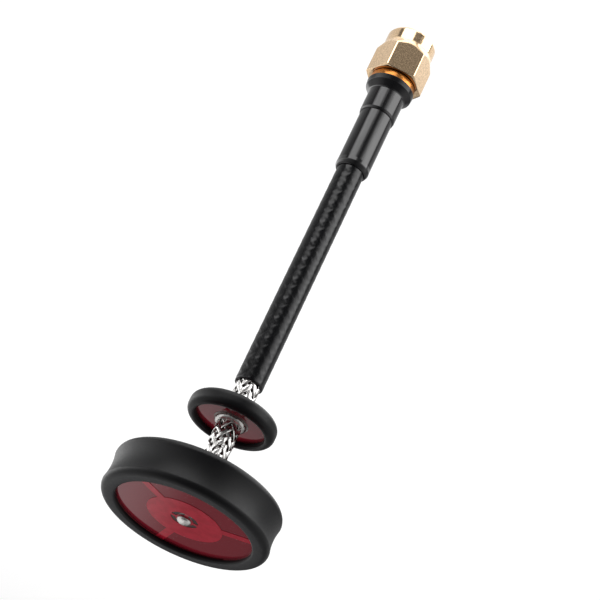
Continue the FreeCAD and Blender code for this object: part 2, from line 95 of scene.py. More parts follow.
def soft_outline(corners, steps=5):
    """Closed outline from corners (radius, height, rounding). A guard point beside each rounding keeps the
    smooth shading of the straight next to it flat."""
    points = []
    count = len(corners)
    for i, (r, z, rounding) in enumerate(corners):
        here = Vector((r, z))
        before = Vector(corners[i - 1][:2]) - here
        after = Vector(corners[(i + 1) % count][:2]) - here
        if rounding <= 0:
            points.append((r, z))
            continue
        half = before.angle(after) / 2
        reach = min(rounding / math.tan(half), before.length * 0.48, after.length * 0.48)
        a, b = here + before.normalized() * reach, here + after.normalized() * reach
        guard = min(0.06, before.length * 0.02, after.length * 0.02)
        points.append(tuple(a + before.normalized() * guard))
        for k in range(steps + 1):
            t = k / steps
            points.append(tuple(a * (1 - t) ** 2 + here * 2 * t * (1 - t) + b * t ** 2))
        points.append(tuple(b + after.normalized() * guard))
    return points


def ring_mesh(name, columns):
    """Closed mesh from columns of points round the axis, each a closed loop of (x, y, z) in millimetres."""
    verts = [Vector(p) * MM for column in columns for p in column]
    rows, cols = len(columns[0]), len(columns)
    faces = []
    for c in range(cols):
        here, beside = c * rows, (c + 1) % cols * rows
        faces += [(here + r, beside + r, beside + (r + 1) % rows, here + (r + 1) % rows) for r in range(rows)]
    mesh = bpy.data.meshes.new(name)
    mesh.from_pydata(verts, [], faces)
    bm = bmesh.new()
    bm.from_mesh(mesh)
    bmesh.ops.remove_doubles(bm, verts=bm.verts, dist=1e-7)
    bmesh.ops.recalc_face_normals(bm, faces=bm.faces)
    for face in bm.faces:
        face.smooth = True
    bm.to_mesh(mesh)
    bm.free()
    return mesh


def turned(name, outline, segments, shift=None):
    """Turns a closed outline about the axis. shift(angle, radius, height) gives a small change of radius."""
    columns = []
    for i in range(segments):
        angle = TURN * i / segments
        column = []
        for r, z in outline:
            radius = r + (shift(angle, r, z) if shift else 0.0)
            column.append((radius * math.cos(angle), radius * math.sin(angle), z))
        columns.append(column)
    return ring_mesh(name, columns)


def put(name, mesh, body, finish, slot, *nodes):
    """Makes a finished piece of the mesh, on its body, in place of the CAD nodes named."""
    piece = bpy.data.objects.new(name, mesh)
    bpy.context.scene.collection.objects.link(piece)
    mesh.materials.clear()
    mesh.materials.append(finish)
    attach(piece, body)
    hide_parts(*nodes)
    return piece


def dress(node, finish):
    """Gives a CAD node its finish."""
    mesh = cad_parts[node].data
    mesh.materials.clear()
    mesh.materials.append(finish)


# Finishes


def new_finish(name, colour, **values):
    """A material with one Principled BSDF, its colour and the values of its own sockets. Where the finish
    is there already, it comes back without tree and shader, as it needs nothing more."""
    if name in bpy.data.materials:
        return bpy.data.materials[name], None, None
    finish = bpy.data.materials.new(name)
    finish.use_nodes = True
    tree = finish.node_tree
    shader = next(n for n in tree.nodes if n.type == "BSDF_PRINCIPLED")
    shader.inputs["Base Color"].default_value = colour
    for key, value in values.items():
        shader.inputs[key.replace("_", " ").title().replace("Ior", "IOR")].default_value = value
    return finish, tree, shader


def grain(tree, shader, size, depth, rough=None, tint=None, stretch=(1.0, 1.0, 1.0), detail=3.0):
    """Irregular surface of a given feature size and depth in millimetres. rough = (low, high) lets the
    gloss vary with it, and tint = (dark, light) the colour."""
    place = add(tree, "ShaderNodeTexCoord").outputs["Object"]
    scaled = add(tree, "ShaderNodeMapping", {"Vector": place, "Scale": stretch})
    noise = add(tree, "ShaderNodeTexNoise",
                {"Vector": scaled.outputs[0], "Scale": 1 / (size * MM), "Detail": detail, "Roughness": 0.6})
    value = noise.outputs[0]
    bump = add(tree, "ShaderNodeBump", {"Height": value, "Distance": depth * MM, "Strength": 1.0})
    tree.links.new(bump.outputs[0], shader.inputs["Normal"])
    if rough:
        spread = add(tree, "ShaderNodeMapRange", {"Value": value, "From Min": 0.3, "From Max": 0.7,
                                                  "To Min": rough[0], "To Max": rough[1]})
        tree.links.new(spread.outputs[0], shader.inputs["Roughness"])
    if tint:
        ramp = add(tree, "ShaderNodeValToRGB", {"Fac": value})
        for element, position, colour in zip(ramp.color_ramp.elements, (0.4, 0.6), tint):
            element.position, element.color = position, colour
        tree.links.new(ramp.outputs[0], shader.inputs["Base Color"])


def by_radius(tree, start, end):
    """Rises from 0 to 1 between two distances from the axis, in millimetres."""
    place = add(tree, "ShaderNodeTexCoord").outputs["Object"]
    flat = add(tree, "ShaderNodeVectorMath", {0: place, 1: (1.0, 1.0, 0.0)}, operation="MULTIPLY")
    radius = add(tree, "ShaderNodeVectorMath", {0: flat.outputs[0]}, operation="LENGTH")
    return add(tree, "ShaderNodeMapRange", {"Value": radius.outputs["Value"],
                                            "From Min": start * MM, "From Max": end * MM}).outputs[0]


def darker(colour, share):
    """The same colour with less light."""
    return (*(c * share for c in colour[:3]), 1.0)


def gold_plate():
    """Brass plug parts, barrel plated in gold: pale warm mirror softened by fine grain under the plating."""
    colour = bpy.context.scene.antenna_plug.gold
    finish, tree, shader = new_finish("gold_plated_brass", colour, metallic=1.0, roughness=0.1)
    if tree:
        # Grain of the etched brass, drawn 0.25 mm wide because the real 0.02 mm wouldn't show.
        tint = (darker(colour, 0.72), tuple(colour))
        grain(tree, shader, 0.25, 0.0025, rough=(0.07, 0.13), tint=tint, detail=6.0)
    return finish


def gold_flash_and_shade():
    """Connector body, plated thinly, and duller in the turning marks. Its colour, deeper and redder than the
    nut, is partly the thin plating and partly painted shade from the nut and the boot beside it.
    """
    # Painted shade: the deep brown-orange colour stands in part for the shade and the dark reflections
    # between nut and boot.
    finish, tree, shader = new_finish("gold_flashed_brass_and_shade", linear("#C07C3C"), metallic=1.0, roughness=0.24)
    if tree:
        grain(tree, shader, 0.2, 0.002, rough=(0.18, 0.32), stretch=(0.3, 0.3, 2.0))
    return finish


def spring_bronze():
    """Phosphor bronze strip: brown metal with a drawn sheen."""
    finish, tree, shader = new_finish("rolled_spring_bronze", linear("#B07A4A"), metallic=1.0, roughness=0.35)
    if tree:
        grain(tree, shader, 0.15, 0.003, rough=(0.28, 0.45), stretch=(1.0, 1.0, 4.0))
    return finish


def fluoropolymer():
    """Sintered and turned fluoropolymer: milky white, waxy, with light passing a little way in."""
    finish, tree, shader = new_finish("turned_fluoropolymer", linear("#ECEBE6"), roughness=0.42, ior=1.38,
                                      subsurface_weight=0.25, subsurface_scale=0.0006)
    if tree:
        grain(tree, shader, 0.4, 0.004, rough=(0.36, 0.5))
    return finish


def silicone_seal():
    """Moulded silicone sealing ring: matt brick red, slightly waxy."""
    finish, tree, shader = new_finish("moulded_silicone", linear("#9E3B26"), roughness=0.55, ior=1.41)
    if tree:
        grain(tree, shader, 0.2, 0.006, rough=(0.48, 0.62))
    return finish


def silvered_wire():
    """Silver-plated copper-clad steel wire: bright drawn metal."""
    finish, tree, shader = new_finish("drawn_silvered_wire", linear("#D9D7D2"), metallic=1.0, roughness=0.2)
    if tree:
        grain(tree, shader, 0.1, 0.002, rough=(0.15, 0.3), stretch=(1.0, 1.0, 0.15))
    return finish


def tinned_braid():
    """Copper braid dipped in tin: bright lumpy bundles, with dark gaps where flux sits. The dark is mostly
    painted shade: close to the axis the colour turns dark, over the lower bundles, the gaps and the tube
    beneath them.
    """
    tin, flux_and_shade = linear("#E2E0DE"), linear("#34312E")
    finish, tree, shader = new_finish("tinned_copper_braid", tin, metallic=1.0, roughness=0.12)
    if tree:
        # Ripples of tin over wires 0.1 mm thick, drawn 0.3 mm wide because the real ones wouldn't show.
        grain(tree, shader, 0.3, 0.03, rough=(0.1, 0.24))
        # Painted shade: the colour darkens towards the axis, over the bundles that lie under and the gaps
        # between them.
        ramp = add(tree, "ShaderNodeValToRGB", {"Fac": by_radius(tree, 1.54, 1.64)})
        ramp.color_ramp.elements[0].color = flux_and_shade
        ramp.color_ramp.elements[1].color = tin
        tree.links.new(ramp.outputs[0], shader.inputs["Base Color"])
    return finish


def black_jacket():
    """Extruded fluoropolymer jacket: smooth black skin, drawn tight over the braid."""
    colour = bpy.context.scene.antenna_cable.jacket_colour
    finish, tree, shader = new_finish("extruded_black_jacket", colour, roughness=0.17, ior=1.38)
    if tree:
        grain(tree, shader, 0.35, 0.003, rough=(0.12, 0.22), stretch=(1.0, 1.0, 0.3))
    return finish


def heat_shrink():
    """Shrunk polyolefin sleeve: satin black with faint lengthwise draw lines."""
    colour = bpy.context.scene.antenna_cable.sleeve_colour
    finish, tree, shader = new_finish("shrunk_black_sleeve", colour, roughness=0.12, ior=1.52)
    if tree:
        grain(tree, shader, 0.5, 0.003, rough=(0.09, 0.15), stretch=(1.0, 1.0, 0.12))
    return finish


def red_board():
    """Glass-fibre board under red solder mask: dark glossy red, nearly flat. In the slots round the centre,
    without mask and copper, the bare board is brown."""
    colour = bpy.context.scene.antenna_head.board_colour
    finish, tree, shader = new_finish("red_masked_board", colour, roughness=0.06, ior=1.55)
    if tree:
        grain(tree, shader, 0.6, 0.0003, rough=(0.05, 0.08))
        tone = add(tree, "ShaderNodeMixRGB", {0: by_radius(tree, 2.0, 2.2), 1: linear("#3A2A2A"), 2: colour})
        tree.links.new(tone.outputs[0], shader.inputs["Base Color"])
    return finish


def masked_copper():
    """Copper foil under red solder mask: a brighter, warmer red, because light comes back off the foil."""
    colour = bpy.context.scene.antenna_head.copper_colour
    finish, tree, shader = new_finish("red_masked_copper", colour, roughness=0.06, ior=1.55)
    if tree:
        tint = (darker(colour, 0.82), tuple(colour))
        grain(tree, shader, 1.2, 0.0004, rough=(0.05, 0.09), tint=tint)
    return finish


def tinned_pad():
    """Hot-air levelled tin on a copper pad: pale grey, soft and slightly pillowy."""
    finish, tree, shader = new_finish("hot_air_levelled_tin", linear("#A09E9B"), metallic=1.0, roughness=0.4)
    if tree:
        grain(tree, shader, 0.5, 0.01, rough=(0.34, 0.48))
    return finish


def solder():
    """Hand-made solder joint: grey metal, wet-looking where it flowed and dull where it froze last."""
    finish, tree, shader = new_finish("hand_soldered_joint", linear("#DAD8D5"), metallic=1.0, roughness=0.22)
    if tree:
        grain(tree, shader, 0.6, 0.07, rough=(0.16, 0.3))
    return finish


def black_rubber():
    """Moulded rubber ring: matt black that lightens at grazing angles, with the mould's fine erosion."""
    colour = bpy.context.scene.antenna_head.rubber_colour
    finish, tree, shader = new_finish("moulded_black_rubber", colour, roughness=0.4, specular_ior_level=0.22)
    if tree:
        # Spark-eroded texture, drawn 0.3 mm wide because the real 0.05 mm wouldn't show.
        grain(tree, shader, 0.3, 0.003, rough=(0.36, 0.45))
    return finish


# Sizes and colours that a user would change


class PlugSizes(bpy.types.PropertyGroup):
    edge_radius: bpy.props.FloatProperty(
        name="Edge radius", description="Rounding of the hexagon's edges", default=0.34 * MM, unit="LENGTH")
    shoulder_start: bpy.props.FloatProperty(
        name="Shoulder start", description="End of the round skirt, from the mouth", default=2.9 * MM,
        unit="LENGTH")
    shoulder_slope: bpy.props.FloatProperty(
        name="Shoulder slope", description="Rise of the shoulder from the skirt to the hexagon", default=0.86)
    thread_pitch: bpy.props.FloatProperty(
        name="Thread pitch", description="Axial distance between thread crests", default=25.4 / 36 * MM,
        unit="LENGTH")
    thread_depth: bpy.props.FloatProperty(
        name="Thread depth", description="From crest to root", default=0.34 * MM, unit="LENGTH")
    gold: bpy.props.FloatVectorProperty(
        name="Gold", description="Colour of the plating", default=linear("#F3D2AA"), size=4, subtype="COLOR")


class CableSizes(bpy.types.PropertyGroup):
    bundle_width: bpy.props.FloatProperty(
        name="Bundle width", description="One of the sixteen tinned bundles of the braid", default=0.72 * MM,
        unit="LENGTH")
    bundle_height: bpy.props.FloatProperty(
        name="Bundle height", description="Thickness of a bundle", default=0.18 * MM, unit="LENGTH")
    lay: bpy.props.FloatProperty(
        name="Lay length", description="Length in which a bundle goes once round", default=14 * MM,
        unit="LENGTH")
    relief: bpy.props.FloatProperty(
        name="Jacket relief", description="Height of the braid's print on the jacket", default=0.02 * MM,
        unit="LENGTH")
    jacket_colour: bpy.props.FloatVectorProperty(
        name="Jacket", description="Colour of the jacket", default=linear("#0B0C10"), size=4, subtype="COLOR")
    sleeve_colour: bpy.props.FloatVectorProperty(
        name="Sleeves", description="Colour of the heat-shrink sleeves", default=linear("#0C0C10"), size=4,
        subtype="COLOR")


class HeadSizes(bpy.types.PropertyGroup):
    lip_rounding: bpy.props.FloatProperty(
        name="Lip rounding", description="Outer corners of the large ring", default=0.95 * MM, unit="LENGTH")
    waist_depth: bpy.props.FloatProperty(
        name="Waist depth", description="Hollow of the large ring's outside", default=0.25 * MM,
        unit="LENGTH")
    rim_rounding: bpy.props.FloatProperty(
        name="Rim rounding", description="Inner corners of the lips", default=0.3 * MM, unit="LENGTH")
    rubber_colour: bpy.props.FloatVectorProperty(
        name="Rubber", description="Colour of both rings", default=linear("#101012"), size=4, subtype="COLOR")
    board_colour: bpy.props.FloatVectorProperty(
        name="Board", description="Mask over bare board", default=linear("#68131F"), size=4, subtype="COLOR")
    copper_colour: bpy.props.FloatVectorProperty(
        name="Copper", description="Mask over copper", default=linear("#9A192B"), size=4, subtype="COLOR")


class StageSizes(bpy.types.PropertyGroup):
    floor_drop: bpy.props.FloatProperty(
        name="Floor drop", description="Floor below the plug's mouth", default=30 * MM, unit="LENGTH")
    ambient: bpy.props.FloatProperty(
        name="Ambient", description="Soft light from all round", default=0.25)
    lamp_power: bpy.props.FloatProperty(
        name="Lamp power", description="Each large lamp", default=0.35, unit="POWER")


# Plug


def smooth_least(a, b, blend):
    """The smaller of two lengths, eased over the blend where they are nearly equal."""
    return min(a, b) - max(blend - abs(a - b), 0.0) ** 2 / (4 * blend)


def nut_outside(angle, z, half_flat, length, skirt, plug):
    """Radius of the nut's outside: a hexagon cut back by a shoulder, a rear slope and a rounded crown."""
    edge_blend = plug.edge_radius / MM * 0.62
    skirt_blend, shoulder_blend, rear_blend = 0.6, 0.25, 0.08
    rear_drop, rear_slope, crown = 0.03, 4.0, 0.55
    sector = TURN / 6
    off = (angle % sector) - sector / 2
    sides = (half_flat / math.cos(off), half_flat / math.cos(sector - abs(off)))
    radius = smooth_least(*sides, edge_blend)
    slope = skirt + (z - plug.shoulder_start / MM) * plug.shoulder_slope
    shoulder = -smooth_least(-skirt, -slope, skirt_blend)
    rear = half_flat - rear_drop + (length - z) * rear_slope
    radius = smooth_least(smooth_least(radius, shoulder, shoulder_blend), rear, rear_blend)
    if z < crown:
        radius -= crown - math.sqrt(max(crown ** 2 - (crown - z) ** 2, 0.0))
    return radius


class ANTENNA_OT_coupling_nut(bpy.types.Operator):
    """Hexagon coupling nut with its inside thread"""
    bl_idname = "antenna.coupling_nut"
    bl_label = "Coupling nut"

    def execute(self, context):
        plug = context.scene.antenna_plug
        high = span("coupling_nut")[1]
        half_flat, length, skirt = high.y, high.z, 3.92
        pitch, depth = plug.thread_pitch / MM, plug.thread_depth / MM
        # From the mouth: thread, wider room behind it, then the neck with the snap ring's groove.
        thread, thread_start, thread_end = 2.945, 0.35, 3.15
        room, room_start, room_end = 3.3, 3.2, 4.95
        neck, groove, groove_start, groove_end = 2.78, 3.16, 6.85, 7.57
        # Columns crowd at the hexagon's edges, and rows at the shoulder and at both ends.
        marks = (0.0, 0.6, 1.3, 2.2, 3.4, 5.0, 7.5, 11.0, 15.5, 20.0, 25.0)
        offsets = sorted({*marks, *(60.0 - m for m in marks[1:]), 30.0})
        angles = [math.radians(60 * k + a) for k in range(6) for a in offsets]
        heights = [0.0, 0.02, 0.05, 0.1, 0.17, 0.26, 0.38, 0.5, 0.62, 0.9, 1.2, 1.5]
        heights += [1.7 + 0.1 * i for i in range(25)] + [4.6, 5.4, 6.4, 7.3, 7.9]
        heights += [length - 0.4 + 0.04 * i for i in range(10)] + [length - 0.02, length]
        rows_per_pitch = 12
        rows = int((thread_end - thread_start) / pitch * rows_per_pitch)
        columns = []
        for angle in angles:
            column = [(nut_outside(angle, z, half_flat, length, skirt, plug), z) for z in heights]
            rim = column[-1][0]
            column += [(rim - 0.04, length), (rim * 0.6 + 2.9 * 0.4, length),
                       (neck + 0.16, length), (neck + 0.09, length), (neck + 0.02, length - 0.03),
                       (neck, length - 0.1), (neck, groove_end + 0.01), (groove, groove_end),
                       (groove, groove_start), (neck, groove_start - 0.01), (neck, room_end + 0.05),
                       (neck + 0.01, room_end), (room - 0.01, room_end), (room, room_end - 0.05),
                       (room, room_start)]
            for i in range(rows + 1):
                z = thread_end - (thread_end - thread_start) * i / rows
                fade = min(1.0, (z - thread_start) / 0.35, (thread_end - z) / 0.2)
                phase = (z / pitch - angle / TURN) % 1.0
                wave = 1 - 2 * abs(2 * phase - 1)
                column.append((thread + depth / 2 * max(-0.75, min(0.8, wave)) * fade, z))
            column += [(thread + 0.3, 0.03), (thread + 0.345, 0.0), (thread + 0.355, 0.0)]
            columns.append([(r * math.cos(angle), r * math.sin(angle), z) for r, z in column])
        mesh = ring_mesh("nut_shell", columns)
        put("nut_shell", mesh, "nut", gold_plate(), "gold_plate", "coupling_nut")
        return {"FINISHED"}


class ANTENNA_OT_plug_core(bpy.types.Operator):
    """Body, insulator, contact, snap ring and sealing ring inside the nut"""
    bl_idname = "antenna.plug_core"
    bl_label = "Plug core"

    def execute(self, context):
        dress("connector_body", gold_flash_and_shade())
        dress("socket_contact", gold_plate())
        dress("contact_insulator", fluoropolymer())
        dress("nut_snap_ring", spring_bronze())
        low, high = span("sealing_ring")
        inner, outer = 2.3, high.x
        outline = soft_outline([
            (inner, low.z, 0.1), (outer, low.z, 0.3), (outer, high.z, 0.3), (inner, high.z, 0.1)])
        put("sealing_ring_skin", turned("sealing_ring_skin", outline, 72), "antenna", silicone_seal(),
            "silicone_seal", "sealing_ring")
        return {"FINISHED"}


# Cable


def braid_tree(finish):
    """Geometry nodes for sixteen tinned bundles of wires, eight each way, that go over two and under two.
    Two bundles of each hand are wound, and four copies round the axis make eight of them."""
    tin_lump, tin_push = 0.9 * MM, 0.22 * MM
    # The wave is cut off at 45 degrees, so a bundle runs level while it is over or under two others.
    level = 0.7071
    tree = bpy.data.node_groups.new("woven_braid", "GeometryNodeTree")
    face = tree.interface
    face.new_socket("Geometry", in_out="INPUT", socket_type="NodeSocketGeometry")
    for name in ("Start", "End", "Half Width", "Half Height", "Lay", "Middle Radius", "Wave"):
        face.new_socket(name, in_out="INPUT", socket_type="NodeSocketFloat")
    face.new_socket("Steps", in_out="INPUT", socket_type="NodeSocketInt")
    face.new_socket("Geometry", in_out="OUTPUT", socket_type="NodeSocketGeometry")
    given = add(tree, "NodeGroupInput").outputs
    parts = [given["Geometry"]]
    circle = add(tree, "GeometryNodeCurvePrimitiveCircle", {"Resolution": 12, "Radius": 1.0})
    oval = add(tree, "ShaderNodeCombineXYZ", {"X": given["Half Height"], "Y": given["Half Width"], "Z": 1.0})
    profile = add(tree, "GeometryNodeTransform", {"Geometry": circle.outputs[0], "Scale": oval.outputs[0]})
    low = add(tree, "ShaderNodeCombineXYZ", {"Z": given["Start"]})
    high = add(tree, "ShaderNodeCombineXYZ", {"Z": given["End"]})
    line = add(tree, "GeometryNodeCurvePrimitiveLine", {"Start": low.outputs[0], "End": high.outputs[0]})
    strand = add(tree, "GeometryNodeResampleCurve", {"Curve": line.outputs[0], "Count": given["Steps"]})
    starts = add(tree, "GeometryNodeMeshLine", {"Count": 2, "Offset": (0.0, 0.0, 0.0)})
    index = add(tree, "GeometryNodeInputIndex").outputs[0]
    tagged = add(tree, "GeometryNodeStoreNamedAttribute",
                 {"Geometry": starts.outputs[0], "Name": "bundle", "Value": index},
                 data_type="FLOAT", domain="POINT")
    spread = add(tree, "GeometryNodeInstanceOnPoints",
                 {"Points": tagged.outputs[0], "Instance": strand.outputs[0]})
    strands = add(tree, "GeometryNodeRealizeInstances", {"Geometry": spread.outputs[0]})
    bundle = add(tree, "GeometryNodeInputNamedAttribute", {"Name": "bundle"}, data_type="FLOAT").outputs[0]
    position = add(tree, "GeometryNodeInputPosition").outputs[0]
    z = add(tree, "ShaderNodeSeparateXYZ", {0: position}).outputs["Z"]
    turns = add(tree, "ShaderNodeMath", {0: z, 1: given["Lay"]}, operation="DIVIDE").outputs[0]
    for hand in (1.0, -1.0):
        winding = add(tree, "ShaderNodeMath", {0: turns, 1: hand}, operation="MULTIPLY").outputs[0]
        angle = add(tree, "ShaderNodeMath", {0: bundle, 1: 1 / 8, 2: winding}, operation="MULTIPLY_ADD")
        radians = add(tree, "ShaderNodeMath", {0: angle.outputs[0], 1: TURN}, operation="MULTIPLY").outputs[0]
        crossings = add(tree, "ShaderNodeMath", {0: turns, 1: 16.0 * hand}, operation="MULTIPLY").outputs[0]
        phase = add(tree, "ShaderNodeMath", {0: bundle, 1: 2.0, 2: crossings}, operation="MULTIPLY_ADD")
        quarter = add(tree, "ShaderNodeMath", {0: phase.outputs[0], 1: TURN / 4, 2: -TURN / 8},
                      operation="MULTIPLY_ADD")
        wave = add(tree, "ShaderNodeMath", {0: quarter.outputs[0]}, operation="COSINE")
        swing = add(tree, "ShaderNodeMapRange", {"Value": wave.outputs[0], "From Min": -level,
                                                 "From Max": level, "To Min": -hand, "To Max": hand})
        radius = add(tree, "ShaderNodeMath",
                     {0: swing.outputs[0], 1: given["Wave"], 2: given["Middle Radius"]},
                     operation="MULTIPLY_ADD").outputs[0]
        cosine = add(tree, "ShaderNodeMath", {0: radians}, operation="COSINE").outputs[0]
        sine = add(tree, "ShaderNodeMath", {0: radians}, operation="SINE").outputs[0]
        x = add(tree, "ShaderNodeMath", {0: cosine, 1: radius}, operation="MULTIPLY").outputs[0]
        y = add(tree, "ShaderNodeMath", {0: sine, 1: radius}, operation="MULTIPLY").outputs[0]
        point = add(tree, "ShaderNodeCombineXYZ", {"X": x, "Y": y, "Z": z})
        tinning = add(tree, "ShaderNodeTexNoise",
                      {"Vector": point.outputs[0], "W": hand, "Scale": 1 / tin_lump, "Detail": 1.0},
                      noise_dimensions="4D")
        uneven = add(tree, "ShaderNodeVectorMath", {0: tinning.outputs["Color"], 1: (-0.5, -0.5, -0.5)})
        push = add(tree, "ShaderNodeVectorMath", {0: uneven.outputs[0], 1: (tin_push,) * 3},
                   operation="MULTIPLY")
        wound = add(tree, "GeometryNodeSetPosition",
                    {"Geometry": strands.outputs[0], "Position": point.outputs[0], "Offset": push.outputs[0]})
        upright = add(tree, "GeometryNodeSetCurveNormal", {"Curve": wound.outputs[0]}, mode="Z_UP")
        drawn = add(tree, "GeometryNodeCurveToMesh",
                    {"Curve": upright.outputs[0], "Profile Curve": profile.outputs[0], "Fill Caps": True})
        corners = add(tree, "GeometryNodeMeshLine", {"Count": 4, "Offset": (0.0, 0.0, 0.0)})
        quarter_turn = add(tree, "ShaderNodeMath", {0: index, 1: TURN / 4}, operation="MULTIPLY")
        twist = add(tree, "ShaderNodeCombineXYZ", {"Z": quarter_turn.outputs[0]})
        copies = add(tree, "GeometryNodeInstanceOnPoints",
                     {"Points": corners.outputs[0], "Instance": drawn.outputs[0],
                      "Rotation": twist.outputs[0]})
        parts.append(add(tree, "GeometryNodeRealizeInstances", {"Geometry": copies.outputs[0]}).outputs[0])
    join = add(tree, "GeometryNodeJoinGeometry")
    for part in reversed(parts):
        tree.links.new(part, join.inputs[0])
    real = add(tree, "GeometryNodeRealizeInstances", {"Geometry": join.outputs[0]})
    smooth = add(tree, "GeometryNodeSetShadeSmooth", {0: real.outputs[0]})
    painted = add(tree, "GeometryNodeSetMaterial", {"Geometry": smooth.outputs[0], "Material": finish})
    add(tree, "NodeGroupOutput", {"Geometry": painted.outputs[0]})
    return tree


class ANTENNA_OT_braid(bpy.types.Operator):
    """Woven and tinned braid of the bare part of the cable"""
    bl_idname = "antenna.braid"
    bl_label = "Braid"

    def execute(self, context):
        cable = context.scene.antenna_cable
        low, high = span("cable_braid")
        finish = tinned_braid()
        # A thin tube under the weave closes its gaps and runs on to the plug. The braid's finish paints it
        # dark, as painted shade in the gaps.
        inner, outer, end = 1.49, 1.53, high.z - 0.3
        outline = [(inner, low.z), (outer, low.z), (outer, end), (inner, end)]
        carrier = bpy.data.objects.new("braid_carrier", turned("braid_carrier", outline, 64))
        context.scene.collection.objects.link(carrier)
        tree = braid_tree(finish)
        under_jacket = 1.2
        start = span("cable_jacket")[1].z - under_jacket
        half_height = wave = cable.bundle_height / 2
        middle = high.x * MM - half_height - wave
        values = {"Start": start * MM, "End": high.z * MM, "Half Width": cable.bundle_width / 2,
                  "Half Height": half_height, "Lay": cable.lay, "Middle Radius": middle, "Wave": wave,
                  "Steps": 120}
        modifier = carrier.modifiers.new("braid", "NODES")
        modifier.node_group = tree
        for item in tree.interface.items_tree:
            if item.in_out == "INPUT" and item.name in values:
                modifier[item.identifier] = values[item.name]
        context.view_layer.update()
        evaluated = carrier.evaluated_get(context.evaluated_depsgraph_get())
        mesh = bpy.data.meshes.new_from_object(evaluated)
        bpy.data.objects.remove(carrier)
        mesh.name = "woven_braid"
        put("woven_braid", mesh, "antenna", finish, "tinned_braid", "cable_braid")
        return {"FINISHED"}


class ANTENNA_OT_cable(bpy.types.Operator):
    """Jacket that shows the braid beneath it, with insulation and inner wire"""
    bl_idname = "antenna.cable"
    bl_label = "Cable"

    def execute(self, context):
        cable = context.scene.antenna_cable
        low, high = span("cable_jacket")
        lay, relief = cable.lay / MM, cable.relief / MM
        inner, outer = BRAID_RADIUS, high.x

        def print_through(angle, r, z):
            """Full radius over each bundle that lies on top, and less by the relief elsewhere."""
            if r < outer - 0.1:
                return 0.0
            plus = TURN * (angle / TURN + z / lay)
            minus = TURN * (angle / TURN - z / lay)
            one = math.cos(8 * minus) * (0.5 + 0.5 * math.cos(4 * plus))
            two = math.cos(8 * plus) * (0.5 - 0.5 * math.cos(4 * minus))
            return -relief * (1 - max(one, two, 0.0))

        row, margin, rounding = 0.16, 0.15, 0.03
        rows = int((high.z - low.z - 0.4) / row)
        length = high.z - low.z - 2 * margin
        outline = [(inner, low.z), (outer - 0.12, low.z), (outer - rounding, low.z + rounding)]
        outline += [(outer, low.z + margin + length * i / rows) for i in range(rows + 1)]
        outline += [(outer - rounding, high.z - rounding), (outer - 0.12, high.z), (inner + 0.05, high.z),
                    (inner, high.z - 0.05)]
        put("jacket_skin", turned("jacket_skin", outline, 128, print_through), "antenna", black_jacket(),
            "black_jacket", "cable_jacket")
        dress("cable_dielectric", fluoropolymer())
        dress("inner_conductor", silvered_wire())
        return {"FINISHED"}


class ANTENNA_OT_sleeves(bpy.types.Operator):
    """Two heat-shrink sleeves over the joint of plug and cable"""
    bl_idname = "antenna.sleeves"
    bl_label = "Sleeves"

    def execute(self, context):
        def uneven(angle, r, z):
            """Waves 0.012 mm deep, as shrinking leaves them."""
            return -0.006 * (1 + math.sin(3 * angle + z * 0.7) * math.sin(z * 0.9 + 1.0 + angle))

        low, high = span("joint_sleeve")
        joint_front, tube_end = low.z, span("boot_sleeve")[1].z - 0.3
        tube, jacket, body = 2.25, 2.11, 2.58
        outline = soft_outline([
            (tube, low.z, 0), (body, low.z, 0.05), (body, high.z - 1.3, 1.0),
            (body + 0.04, high.z - 0.62, 0.5), (body - 0.18, high.z - 0.12, 0.3),
            (jacket + 0.11, high.z, 0.08), (jacket, high.z, 0), (jacket, tube_end, 0),
            (tube, tube_end, 0)], 6)
        put("joint_sleeve_skin", turned("joint_sleeve_skin", outline, 96, uneven), "antenna", heat_shrink(),
            "heat_shrink", "joint_sleeve")
        low, high = span("boot_sleeve")
        flange_end, cone_end, step = joint_front - 1.15, joint_front - 0.2, joint_front - 0.05
        flange, cone, joint, body = 3.56, 2.26, 2.56, 2.79
        outline = soft_outline([
            (flange, low.z, 0), (high.x, low.z, 0.08), (high.x - 0.11, flange_end + 0.02, 0.15),
            (body + 0.03, cone_end - 0.1, 0.6), (body, high.z - 0.45, 0.4), (body - 0.09, high.z - 0.05, 0.2),
            (joint, high.z, 0), (joint, step, 0), (cone, step, 0), (cone, cone_end, 0),
            (flange, flange_end, 0)], 6)
        put("boot_skin", turned("boot_skin", outline, 96, uneven), "antenna", heat_shrink(), "heat_shrink",
            "boot_sleeve")
        return {"FINISHED"}


# Discs


def lips(opening, outer, low, high, rim, rounding, side=()):
    """Section of a rubber ring from the inner corner of its lower lip round to that of its upper lip."""
    outline = arc((opening + rim, low + rim), rim, 180, 270, 6)
    outline += arc((outer - rounding, low + rounding), rounding, -90, 0, 12)
    outline += side
    outline += arc((outer - rounding, high - rounding), rounding, 0, 90, 12)
    return outline + arc((opening + rim, high - rim), rim, 90, 180, 6)


